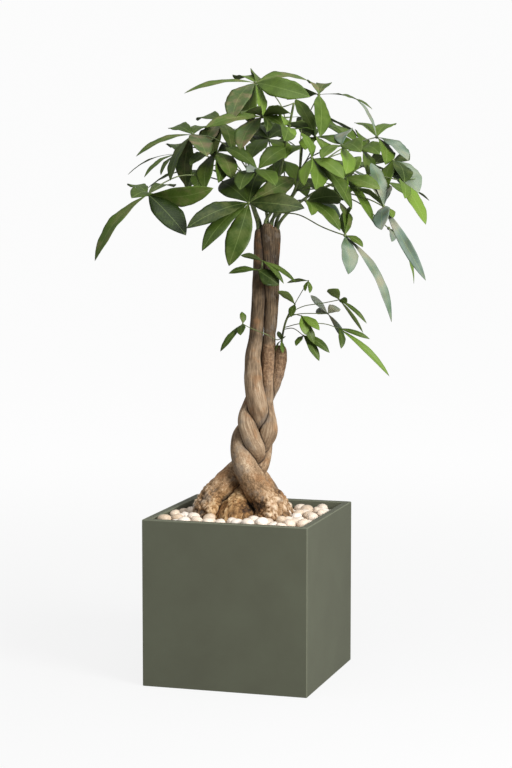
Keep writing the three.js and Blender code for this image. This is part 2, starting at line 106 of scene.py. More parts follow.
# Matt paint on cast fibre clay: no gloss, clouds a hand wide where the paint lies thicker, and a
# fine orange-peel grain of about 1.5 mm, drawn twice as coarse so that it shows. The eased edges
# carry a painted highlight: the paint is a little paler on them.
painted_clay, tree, surface, place = new_material("Matt sage paint on fibre clay", 0.62)
clouds = add_node(tree, "TexNoise", inputs={"Vector": place, "Scale": 9, "Detail": 4, "Roughness": 0.6})
paint = add_node(tree, "ValToRGB", inputs={"Fac": clouds}, stops=[(0.3, "#555747"), (0.7, "#5a5d4c")])
# Painted highlight: the paint turns a little paler on the marked eased faces.
painted_edge_highlight = add_node(tree, "Attribute", {"attribute_name": "painted_edge_highlight"}).outputs["Fac"]
paint_with_edge_highlight = add_node(tree, "Mix", MIX_COLOURS, {0: painted_edge_highlight, 6: paint, 7: "#666957"})
grain = add_node(tree, "TexNoise", inputs={"Vector": place, "Scale": 330, "Detail": 3})
relief = add_node(tree, "Bump", inputs={"Height": grain, "Strength": 0.25, "Distance": 0.0006})
tree.links.new(paint_with_edge_highlight.outputs[2], surface.inputs["Base Color"])
tree.links.new(relief.outputs["Normal"], surface.inputs["Normal"])
surface.inputs["IOR"].default_value = 1.45

bm = bmesh.new()
bmesh.ops.create_cube(bm, size=1)
bmesh.ops.scale(bm, vec=(PLANTER_WIDTH, PLANTER_WIDTH, PLANTER_HEIGHT), verts=bm.verts)
bmesh.ops.translate(bm, vec=(0, 0, PLANTER_HEIGHT / 2), verts=bm.verts)
mouth = max(bm.faces, key=lambda face: face.calc_center_median().z)
bmesh.ops.inset_region(bm, faces=[mouth], thickness=PLANTER_WALL, use_even_offset=True)
inner = bmesh.ops.extrude_face_region(bm, geom=[mouth])["geom"]
floor_corners = [item for item in inner if isinstance(item, bmesh.types.BMVert)]
bmesh.ops.translate(bm, vec=(0, 0, PLANTER_WALL - PLANTER_HEIGHT), verts=floor_corners)
if mouth.is_valid:
    bmesh.ops.delete(bm, geom=[mouth], context="FACES_ONLY")
eased = bmesh.ops.bevel(bm, geom=list(bm.edges), offset=PLANTER_EDGE, offset_type="OFFSET",
                        segments=3, profile=0.5, affect="EDGES", material=-1)
bmesh.ops.recalc_face_normals(bm, faces=bm.faces)
# Marks the eased faces that carry the painted edge highlight.
painted_edge_highlight_layer = bm.loops.layers.float_color.new("painted_edge_highlight")
eased_faces = set(eased["faces"])
for face in bm.faces:
    for loop in face.loops:
        loop[painted_edge_highlight_layer] = (1, 1, 1, 1) if face in eased_faces else (0, 0, 0, 1)
planter = piece_of(bm, "cast_planter", painted_clay)
planter.modifiers.new("Flat walls", "WEIGHTED_NORMAL")
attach(planter, "root")
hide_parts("planter")


# ==== Potting soil ====
# Peat and bark fines, pressed down by hand, that fill the planter to a few centimetres under its
# rim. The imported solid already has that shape, so it stays and gets the soil's finish.

# Moist peat: nearly black where it is wet, brown where it has dried, in dull crumbs of about 6 mm.
potting_mix, tree, surface, place = new_material("Moist peat potting mix", 0.95)
crumbs = add_node(tree, "TexNoise", inputs={
    "Vector": place, "Scale": 160, "Detail": 6, "Roughness": 0.7})
peat = add_node(tree, "ValToRGB", inputs={"Fac": crumbs}, stops=[(0.35, "#1f1610"), (0.7, "#4a3626")])
relief = add_node(tree, "Bump", inputs={"Height": crumbs, "Strength": 1, "Distance": 0.003})
tree.links.new(peat.outputs["Color"], surface.inputs["Base Color"])
tree.links.new(relief.outputs["Normal"], surface.inputs["Normal"])
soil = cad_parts["potting_soil"]
soil.material_slots[0].material = potting_mix


# ==== Braided stems ====
# Four young trees planted together and braided while they were supple. Each stem is one tapering
# trunk with thin brown bark, which is thick, pale and corky where it swells into its foot.
# A route's points are (right, away, up, radius) in mm as the viewer sees the plant, from the cut top
# down into the soil.
PLANT_TURN = math.radians(17)  # how far round to the right of the planter's front the viewer stands
STEM_SIDES = 90
RING_SPACING = 0.0026
CORK_HEIGHTS = (0.500, 0.415)  # bark turns into cork from the first height down to the second,
FLAKE_HEIGHTS = (0.472, 0.395)  # and cork into flakes
SCAB_SIDE = (0.030, 0.036)  # the rough stretch starts this far to the right,
SCAB_BOTTOM = (0.66, 0.73)  # grows rough upwards between these heights
SCAB_TOP = (0.797, 0.789)  # and ends between these
# The painted shade in the crevices between stems reaches out this far from a touching stem:
CREVICE_REACH = 0.0042  # how far from a touching stem its crevice starts,
CREVICE_FULL = 0.0005  # and how near it is darkest
MOUND = (-32, -28, 384)  # the middle of the left stem's foot
FLAKE_SEED = 3  # noise_vector, which bends the flakes' edges, would else take its seed from the clock
STEM_ROUTES = {
    "stem_short": [
        (74, 2, 789, 9), (74, 2, 782, 13), (74, 3, 755, 13.5), (69, 6, 726, 13.5), (61, 12, 697, 14),
        (49, 22, 672, 14.5), (35, 31, 645, 16), (15, 35, 617, 18), (-5, 28, 592, 20), (-19, 12, 572, 22),
        (-21, -4, 550, 24), (-16, -18, 528, 27), (-9, -28, 503, 29), (4, -34, 480, 31), (19, -38, 454, 33),
        (36, -40, 428, 36), (50, -42, 402, 40), (57, -42, 374, 42), (57, -40, 340, 34)],
    "stem_back": [
        (61, 14, 1069, 8), (61, 14, 1062, 12), (59, 14, 991, 12), (58, 14, 897, 12), (51, 18, 830, 13.5),
        (39, 26, 777, 14.5), (32, 33, 728, 16), (18, 32, 690, 17), (9, 22, 663, 17.5), (0, 8, 640, 18.5),
        (-6, -6, 622, 19.5), (-6, -17, 605, 20.5), (0, -25, 585, 21.5), (8, -27, 566, 21.5),
        (17, -22, 545, 20.5), (17, -8, 525, 18.5), (13, 14, 498, 18), (30, 27, 468, 19), (47, 30, 441, 21),
        (62, 30, 416, 24), (76, 30, 390, 26), (84, 30, 362, 26), (84, 30, 340, 22)],
    "stem_centre": [
        (43, -6, 1078, 9), (43, -6, 1071, 14), (46, -5, 992, 13.5), (50, -4, 898, 13), (48, -3, 827, 14),
        (47, 0, 791, 15), (45, 4, 731, 14.5), (45, 8, 688, 14.5), (42, 8, 654, 15), (44, 2, 631, 16),
        (48, -7, 608, 18), (46, -10, 585, 21), (38, -4, 564, 20), (20, 14, 541, 19.5), (0, 26, 516, 23),
        (-25, 20, 486, 30), (-55, 9, 458, 31), (-82, 0, 428, 32), (-93, -6, 402, 35), (-98, -8, 378, 38),
        (-98, -6, 340, 30)],
    "stem_left": [
        (27, 4, 1067, 8), (27, 4, 1060, 13), (25.5, 2, 987, 15.5), (22, 0, 898, 16.5), (15, -2, 806, 17),
        (9, -4, 767, 18.5), (9, -8, 732, 20.5), (12, -13, 690, 22.5), (18, -17, 655, 24), (24, -8, 623, 22),
        (31, 14, 592, 19), (39, 30, 567, 18), (39, 27, 545, 16.5), (35, 8, 520, 16.5), (28, -6, 500, 17.5),
        (14, -6, 482, 19), (2, -8, 455, 21), (-11, -11, 430, 27), (-20, -19, 406, 39), (-30, -28, 384, 46),
        (-32, -28, 340, 42)],
}


def planted(right, away, up):
    """A point of the plant, given in mm as its viewer sees it, in metres on the turned plant."""
    return Matrix.Rotation(PLANT_TURN, 3, "Z") @ Vector((right, away, up)) / 1000


def smooth_path(points, spacing):
    """Points with a radius, about spacing apart, on the smooth curve through the given ones."""
    knots = [Vector(point) for point in points]
    knots = [2 * knots[0] - knots[1], *knots, 2 * knots[-1] - knots[-2]]
    path = []
    for p0, p1, p2, p3 in zip(knots, knots[1:], knots[2:], knots[3:]):
        d0, d1, d2 = [(b - a).xyz.length ** 0.5 for a, b in ((p0, p1), (p1, p2), (p2, p3))]
        leaving = ((p1 - p0) / d0 - (p2 - p0) / (d0 + d1) + (p2 - p1) / d1) * d1
        arriving = ((p2 - p1) / d1 - (p3 - p1) / (d1 + d2) + (p3 - p2) / d2) * d1
        steps = max(1, round((p2 - p1).xyz.length / spacing))
        for step in range(steps):
            t = step / steps
            path.append((2 * t**3 - 3 * t**2 + 1) * p1 + (t**3 - 2 * t**2 + t) * leaving
                        + (3 * t**2 - 2 * t**3) * p2 + (t**3 - t**2) * arriving)
    return [*path, knots[-2]]


def grow_tube(bm, path, sides, relief=None):
    """Wraps a grid round a path of (x, y, z, radius) and closes both ends; relief adds to the radius.
    The straight_stem attribute holds where each point would lie on the stem if it ran straight, and
    raised holds how many millimetres the relief lifts it."""
    vectors, numbers = bm.verts.layers.float_vector, bm.verts.layers.float
    straight = vectors.get("straight_stem") or vectors.new("straight_stem")
    raised = numbers.get("raised") or numbers.new("raised")
    rings = len(path) - 1
    sheet = bmesh.ops.create_grid(bm, x_segments=sides, y_segments=rings, size=1)["verts"]
    along, across, run = [], [], 0.0
    for row, point in enumerate(path):
        ahead = (path[min(row + 1, rings)] - path[max(row - 1, 0)]).xyz.normalized()
        side = ahead.orthogonal() if row == 0 else across[-1] - ahead * across[-1].dot(ahead)
        run += (point - path[row - 1]).xyz.length if row else 0
        across.append(side.normalized())
        along.append((ahead, run))
    for vert in sheet:
        turn = math.pi * (vert.co.x + 1)
        row = round((vert.co.y + 1) / 2 * rings)
        point = path[row]
        ahead, run = along[row]
        outward = across[row] * math.cos(turn) + ahead.cross(across[row]) * math.sin(turn)
        vert[straight] = Vector((math.cos(turn) * point.w, math.sin(turn) * point.w, run))
        lift = relief(vert[straight], point, outward) if relief else 0
        vert[raised] = 1000 * lift
        vert.co = point.xyz + outward * (point.w + lift)
    bmesh.ops.remove_doubles(bm, verts=sheet, dist=1e-5)
    open_edges = [edge for edge in bm.edges if edge.is_boundary]
    bmesh.ops.holes_fill(bm, edges=open_edges, sides=0)


def between(value, low, high):
    """How far a value has come from low to high, from 0 to 1, with soft ends."""
    share = min(1, max(0, (value - low) / (high - low)))
    return share * share * (3 - 2 * share)


def scabbiness(place):
    """1 on the rough stretch of the two stems on the right, under the scar of an old cut; 0 elsewhere."""
    right = place.x * math.cos(PLANT_TURN) + place.y * math.sin(PLANT_TURN)
    return between(right, *SCAB_SIDE) * between(place.z, *SCAB_BOTTOM) * between(place.z, *SCAB_TOP)


def bark_relief(straight, point, outward):
    """Shallow furrows and swellings on the stem, scabs on the rough stretch, and lumps, cork flakes
    and deep cracks on the foot. Each noise is divided by the size of its marks and multiplied by
    their height."""
    cork = between(point.z, *CORK_HEIGHTS)
    flaky = between(point.z, *FLAKE_HEIGHTS)
    furrows = noise.fractal(Vector((straight.x / 0.009, straight.y / 0.009, straight.z / 0.060)), 1, 2, 3)
    swellings = noise.noise(Vector((straight.x / 0.03, straight.y / 0.03, straight.z / 0.028)))
    scabs = noise.noise(Vector((straight.x, straight.y, 0.5 * straight.z)) / 0.007)
    lumps = noise.noise(point.xyz / 0.045 + outward * 0.9)
    knobs = noise.noise(straight / 0.021)
    plates = noise.ridged_multi_fractal(straight / 0.013, 0.9, 2.1, 4, 1, 2) - 1.2
    cracks = abs(noise.noise(straight / 0.017 + Vector((7, 3, 1))))
    lift = 0.0005 * furrows + 0.0011 * swellings
    lift += scabbiness(point) * (0.0010 + 0.0013 * scabs)
    lift += cork * (0.0056 * lumps + 0.0024 * knobs + 0.0009 * plates)
    if flaky > 0:
        edges, seeds = noise.voronoi(straight / 0.014 + 0.35 * noise.noise_vector(straight / 0.009))
        flake = 0.0032 * noise.noise(seeds[0] * 5) + 0.0046 * (min(1, (edges[1] - edges[0]) / 0.25) - 0.6)
        lift += flaky * (flake + 0.0034 * knobs - 0.0050 * max(0, 1 - cracks / 0.07))
    return lift


# Thin lignified bark: dull brown with streaks 3 mm wide and 40 mm long, darkest towards the top and
# tan further down, with rusty stains and grey weathered patches a few centimetres wide. Two stems
# have a stretch of rusty scabs under the scar of an old cut. The cork of the foot has grains of
# 5 mm, near-black cracks and pale worn plates, and is yellower on the mound in the middle. The
# relief tints it: paler on raised plates, as wear, and darker in pits and cracks, as painted shade.
# Painted shade, darkest where two stems touch, fills the crevices between them.
SOFT_ENDS = {"interpolation_type": "SMOOTHSTEP"}
bark, tree, surface, place = new_material("Money tree bark", 0.85)
stem_place = add_node(tree, "Attribute", {"attribute_name": "straight_stem"}).outputs["Vector"]
raised, crevice, scabby = [
    add_node(tree, "Attribute", {"attribute_name": name}).outputs["Fac"]
    for name in ("raised", "crevice", "scabby")]
height = add_node(tree, "SeparateXYZ", inputs={"Vector": place}).outputs["Z"]
streak_place = add_node(tree, "Mapping", inputs={"Vector": stem_place, "Scale": (310, 310, 23)})
streaks = add_node(tree, "TexNoise", inputs={
    "Vector": streak_place, "Scale": 1, "Detail": 5, "Roughness": 0.65})
patch_place = add_node(tree, "Mapping", inputs={"Vector": stem_place, "Scale": (34, 34, 17)})
patches = add_node(tree, "TexNoise", inputs={
    "Vector": patch_place, "Scale": 1, "Detail": 6, "Roughness": 0.68})
crust = add_node(tree, "TexNoise", inputs={
    "Vector": stem_place, "Scale": 190, "Detail": 5, "Roughness": 0.75})
stains = add_node(tree, "TexNoise", inputs={"Vector": place, "Scale": 24, "Detail": 4, "Roughness": 0.6})
corkiness = add_node(tree, "MapRange", SOFT_ENDS, {"Value": height, "From Min": 0.56, "From Max": 0.43})
crusty = add_node(tree, "MapRange", SOFT_ENDS, {
    "Value": height, "From Min": 0.64, "From Max": 0.50, "To Max": 0.9})
grain = add_node(tree, "Mix", inputs={0: crusty, 2: streaks, 3: crust})
calm = add_node(tree, "Math", {"operation": "MULTIPLY"}, {0: corkiness, 1: 0.5})
calmed = add_node(tree, "Mix", inputs={0: calm, 2: patches, 3: 0.5})
mixed = add_node(tree, "Math", {"operation": "ADD"}, {0: calmed, 1: grain})
# The relief tints the bark: raised plates paler, as wear, and sunk pits and cracks darker, as painted
# shade.
lifted = add_node(tree, "Math", {"operation": "MULTIPLY_ADD"}, {0: raised, 1: 0.045, 2: mixed})
tone = add_node(tree, "MapRange", inputs={"Value": lifted, "From Min": 0.68, "From Max": 1.32})
upper = add_node(tree, "ValToRGB", inputs={"Fac": tone}, stops=[
    (0.10, "#2b2016"), (0.50, "#574631"), (0.95, "#8f775b")])
middle = add_node(tree, "ValToRGB", inputs={"Fac": tone}, stops=[
    (0.10, "#5a4531"), (0.50, "#987f63"), (0.95, "#cab498")])
foot = add_node(tree, "ValToRGB", inputs={"Fac": tone}, stops=[
    (0.08, "#332315"), (0.38, "#735636"), (0.60, "#a3825e"), (0.95, "#dec7aa")])
up_blend = add_node(tree, "MapRange", SOFT_ENDS, {"Value": height, "From Min": 0.60, "From Max": 0.92})
stem_colour = add_node(tree, "Mix", MIX_COLOURS, {0: up_blend, 6: middle, 7: upper})
bark_colour = add_node(tree, "Mix", MIX_COLOURS, {0: corkiness, 6: stem_colour, 7: foot})
rusty = add_node(tree, "MapRange", SOFT_ENDS, {
    "Value": stains, "From Min": 0.54, "From Max": 0.66, "To Max": 0.35})
stained = add_node(tree, "Mix", MIX_COLOURS, {0: rusty, 6: bark_colour, 7: "#9a6a3c"})
weathered = add_node(tree, "MapRange", SOFT_ENDS, {
    "Value": stains, "From Min": 0.46, "From Max": 0.36, "To Max": 0.5})
greyed = add_node(tree, "Mix", MIX_COLOURS, {0: weathered, 6: stained, 7: "#7c7368"})
to_mound = add_node(tree, "VectorMath", {"operation": "DISTANCE"}, {0: place, 1: planted(*MOUND)})
ochre = add_node(tree, "MapRange", SOFT_ENDS, {"Value": to_mound, "From Min": 0.09, "From Max": 0.05})
yellowed = add_node(tree, "Mix", {"data_type": "RGBA", "blend_type": "MULTIPLY"}, {
    0: ochre, 6: greyed, 7: "#f0e5c8"})
scabs = add_node(tree, "ValToRGB", inputs={"Fac": crust}, stops=[
    (0.38, "#543826"), (0.50, "#85603f"), (0.62, "#bd9c79")])
scabbed = add_node(tree, "Math", {"operation": "MULTIPLY"}, {0: scabby, 1: 0.6})
scarred = add_node(tree, "Mix", MIX_COLOURS, {0: scabbed, 6: yellowed, 7: scabs})
# Painted shade: the crevices where stems touch are darkened nearly to black.
painted_crevice_shade = add_node(tree, "Math", {"operation": "MULTIPLY"}, {0: crevice, 1: 0.88})
shaded = add_node(tree, "Mix", MIX_COLOURS, {0: painted_crevice_shade, 6: scarred, 7: "#2a1d12"})
grooves = add_node(tree, "Math", {"operation": "ADD"}, {0: streaks, 1: crust})
relief = add_node(tree, "Bump", inputs={"Height": grooves, "Strength": 0.8, "Distance": 0.0016})
tree.links.new(shaded.outputs[2], surface.inputs["Base Color"])
tree.links.new(relief.outputs["Normal"], surface.inputs["Normal"])

stem_paths = {}
for name, route in STEM_ROUTES.items():
    knots = [Vector((*planted(*spot), radius / 1000)) for *spot, radius in route]
    stem_paths[name] = smooth_path(knots, RING_SPACING)


def mark_bark(bm, paths):
    """Fills the scabby attribute and the crevice one, the mask of the painted crevice shade, which is 1
    where a stem with one of the paths touches and 0 from CREVICE_REACH away."""
    crevice_layer = bm.verts.layers.float.new("crevice")
    scabby_layer = bm.verts.layers.float.new("scabby")
    for vert in bm.verts:
        vert[scabby_layer] = scabbiness(vert.co)
    for path in paths:
        nearby = kdtree.KDTree(len(path))
        for index, point in enumerate(path):
            nearby.insert(point.xyz, index)
        nearby.balance()
        for vert in bm.verts:
            _, index, distance = nearby.find(vert.co)
            closeness = between(distance - path[index].w, CREVICE_REACH, CREVICE_FULL)
            vert[crevice_layer] = max(vert[crevice_layer], closeness)


noise.seed_set(FLAKE_SEED)
for name, path in stem_paths.items():
    bm = bmesh.new()
    grow_tube(bm, path, STEM_SIDES, bark_relief)
    mark_bark(bm, [other for other_name, other in stem_paths.items() if other_name != name])
    bmesh.ops.recalc_face_normals(bm, faces=bm.faces)
    stem = piece_of(bm, name.replace("stem", "trunk"), bark)
    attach(stem, "root")
    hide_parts(name)


# ==== Pebbles ====
# A mulch of water-worn quartzite pebbles, 31 to 41 mm long, poured over the soil so that each one
# rests on those below it. They are heaped to just above the rim in front, and lie lower behind.
PEBBLE_RADII = (0.0146, 0.0192)
PEBBLE_LENGTH = 1.06  # a pebble's three sizes, for a radius of 1
PEBBLE_WIDTHS = (0.84, 1.0)
PEBBLE_FLATNESS = 0.74
FLATNESS_RANGE = (0.98, 1.12)  # how much of PEBBLE_FLATNESS each one has
PEBBLE_DENTS = 0.10
PEBBLE_SLANT = 0.35  # radians at most, from lying flat
PEBBLE_FLOOR = 0.353  # the lowest ones are pressed into the soil
PEBBLE_TOP = 0.399
PEBBLE_TILT = 0.03  # how much higher the layer lies in front than behind, per metre
PEBBLE_NESTING = 0.93  # how near two centres come, as a share of their radii
WALL_CLEARANCE = 0.001
FOOT_CLEARANCE = 0.35  # from a pebble's centre to a stem's foot, as a share of its radius
PEBBLE_TRIES = 900
PLACES_TRIED = 24  # for each pebble, which then takes the lowest
PEBBLE_SEED = 12

stone_mesh = bpy.data.meshes.new("worn_stone")
bm = bmesh.new()
bmesh.ops.create_cube(bm, size=2)
bmesh.ops.subdivide_edges(bm, edges=bm.edges, cuts=2, use_grid_fill=True)
for vert in bm.verts:
    vert.co = vert.co.normalized()
bm.to_mesh(stone_mesh)
bm.free()

feet = [(planted(*route[-2][:3]), route[-2][3] / 1000) for route in STEM_ROUTES.values()]
draw = random.Random(PEBBLE_SEED)
reach = PLANTER_WIDTH / 2 - PLANTER_WALL - WALL_CLEARANCE
laid = []
for _ in range(PEBBLE_TRIES):
    radius = draw.uniform(*PEBBLE_RADII)
    best = None
    for _ in range(PLACES_TRIED):
        x, y = [draw.uniform(radius - reach, reach - radius) for _ in "xy"]
        clearance = FOOT_CLEARANCE * radius
        if any(math.hypot(x - base.x, y - base.y) < thick + clearance for base, thick in feet):
            continue
        rest = PEBBLE_FLOOR / PEBBLE_FLATNESS + radius
        for bx, by, bz, below in laid:
            gap = math.hypot(x - bx, y - by)
            touching = PEBBLE_NESTING * (radius + below)
            if gap < touching:
                rest = max(rest, bz + math.sqrt(touching ** 2 - gap ** 2))
        if best is None or rest < best[2]:
            best = (x, y, rest, radius)
    if best and (best[2] + best[3]) * PEBBLE_FLATNESS < PEBBLE_TOP - PEBBLE_TILT * best[1]:
        laid.append(best)

# Tumbled quartzite: tan to cream from stone to stone, a little darker in its cloudy veins, with the
# dull sheen of a stone that was never waxed.
quartzite, tree, surface, place = new_material("Tumbled cream quartzite", 0.5)
tint = add_node(tree, "Attribute", {"attribute_name": "pebble_tint"}).outputs["Fac"]
shade = add_node(tree, "ValToRGB", inputs={"Fac": tint}, stops=[
    (0.0, "#d0baa0"), (0.45, "#e6d5c2"), (1.0, "#f2e8dc")])
veins = add_node(tree, "TexNoise", inputs={"Vector": place, "Scale": 120, "Detail": 4, "Distortion": 1})
veined = add_node(tree, "MapRange", inputs={
    "Value": veins, "From Min": 0.35, "From Max": 0.65, "To Min": 0.86, "To Max": 1.0})
stone = add_node(tree, "Mix", {"data_type": "RGBA", "blend_type": "MULTIPLY"}, {
    0: 1.0, 6: shade, 7: veined})
tree.links.new(stone.outputs[2], surface.inputs["Base Color"])
surface.inputs["IOR"].default_value = 1.54

bm = bmesh.new()
pebble_tint = bm.verts.layers.float.new("pebble_tint")
for x, y, z, radius in laid:
    start = len(bm.verts)
    bm.from_mesh(stone_mesh)
    bm.verts.ensure_lookup_table()
    verts = bm.verts[start:]
    colour = draw.random()
    slant = Quaternion((draw.uniform(-1, 1), draw.uniform(-1, 1), 0), draw.uniform(0, PEBBLE_SLANT))
    turn = slant @ Quaternion((0, 0, 1), draw.uniform(0, math.pi))
    width = draw.uniform(*PEBBLE_WIDTHS)
    size = Vector((PEBBLE_LENGTH, width, PEBBLE_FLATNESS * draw.uniform(*FLATNESS_RANGE))) * radius
    offset = Vector([draw.uniform(0, 50) for _ in "xyz"])
    for vert in verts:
        worn = vert.co * (1 + PEBBLE_DENTS * noise.noise(vert.co * 0.9 + offset))
        vert.co = turn @ Vector([a * b for a, b in zip(worn, size)]) + Vector((x, y, z * PEBBLE_FLATNESS))
        vert[pebble_tint] = colour
pebbles = piece_of(bm, "pebble_mulch", quartzite)
rounding = pebbles.modifiers.new("Worn smooth", "SUBSURF")
rounding.levels = rounding.render_levels = 1
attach(pebbles, "root")
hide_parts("pebbles")


# ==== Leafy shoots ====
# Green shoots that sprouted from the cut stem tops. Each leaf is a long stalk with three to eight
# leaflets spread like a hand, and each shoot is one growth, rooted in the wood of its stem.
# A leaf is its stalk's points, then its leaflets: (right, away, up, width, lean, look), the tip as
# seen from the hub, the width, the roll in degrees about the leaflet's own length, and its look.
SHOOT_SIZES = {
    "radius": 0.0045, "taper": 0.0018, "stalk_radius": 0.0015, "knot_radius": 0.0042, "spacing": 0.008,
    "sides": 10, "stalk_sides": 8, "knot_detail": 2, "columns": 8, "rows": 22}
BLADE_THICKNESS = 0.0007
BLADE_ARCH = 0.10  # how high the rib arches, as a share of the blade's length
FOOT_POWER = 1.25  # how slowly the blade widens from its foot
TIP_POWER = 0.95  # and narrows to its tip
WIDEST = 0.2210  # about what the two powers give where it is widest
BLADE_FOLD = 0.09  # how high the margins fold up, wave and ripple, as shares of half the width
BLADE_WAVE = 0.09
BLADE_RIPPLE = 0.03
MARGIN_RIPPLE = 0.02  # how far the margins ripple in and out
WAVES = (1.6, 2.8)  # the fewest and the most along a blade
RIPPLES = 2.7  # for each wave
BLADE_SWING = 0.05  # how far a blade bends sideways at most, as a share of its length
STALK_SHARE = 0.12  # how much of a leaflet is still its own short stalk
STALK_HALF_WIDTH = 0.0013
UV_SCALE = 10  # 1 on the blade's UV map is 100 mm
LIGHT_SPREAD = 0.14  # how much lighter or darker than its look a leaflet is at most
STRAY_BROWN = 0.18  # and how much browner
LEAF_SEED = 5
LOOKS = {  # how light, how grey-blue, how brown
    "mid": (0.36, 0.0, 0.0),
    "dark": (0.20, 0.0, 0.0),
    "deep": (0.03, 0.0, 0.0),
    # fresh is the colour of young leaves, and on a few shaded undersides it is painted light.
    "fresh": (0.95, 0.0, 0.0),
    # grey is a painted sheen: the grey-blue of waxy skin that catches the light at a slant.
    "grey": (0.45, 1.0, 0.2),
    "olive": (0.30, 0.0, 0.45),
    "brown": (0.30, 0.1, 1.0),
}
